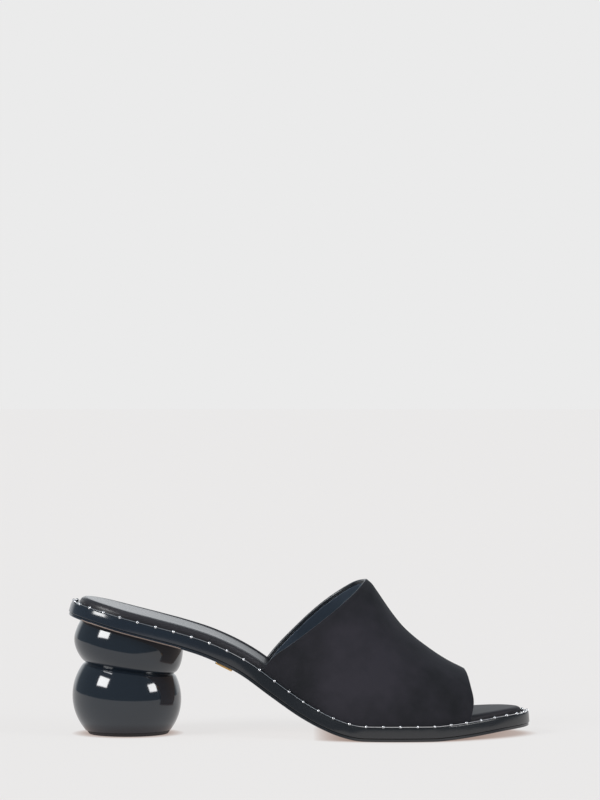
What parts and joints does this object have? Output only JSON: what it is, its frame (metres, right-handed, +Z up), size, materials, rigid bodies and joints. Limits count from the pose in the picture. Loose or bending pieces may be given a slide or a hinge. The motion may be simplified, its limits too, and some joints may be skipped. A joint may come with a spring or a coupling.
{
  "type": "mule shoe",
  "caption": "Open-toe high-heeled mule, right shoe: wide hollow vamp band, padded footbed, rimmed platform sole, thin outsole and a moulded heel of two stacked round forms.",
  "frame": {"origin": "centre of the heel's foot, on the floor", "axes": "+X towards the toe, +Y towards the inner (medial) side of this right shoe, +Z up"},
  "size_m": [0.2393, 0.0857, 0.0802],
  "materials": {
    "outsole_leather": "smooth tan sole leather",
    "platform_lacquer": "polished dark navy edge paint",
    "footbed_leather": "smooth black leather, soft gloss",
    "upper_nubuck": "black nubuck outside, smooth dark navy lining inside",
    "heel_lacquer": "moulded ABS, high-gloss dark navy lacquer",
    "lift_rubber": "dark moulded rubber, matte",
    "stud_metal": "polished nickel-plated ball studs on a thin strip",
    "bar_brass": "plain polished brass bar"
  },
  "bodies": {
    "root": {"outsole": "outsole_leather", "platform": "platform_lacquer", "insole": "footbed_leather", "upper": "upper_nubuck", "heel": "heel_lacquer", "top_lift": "lift_rubber", "stud_trim": "stud_metal", "waist_bar": "bar_brass"}
  },
  "joints": []
}
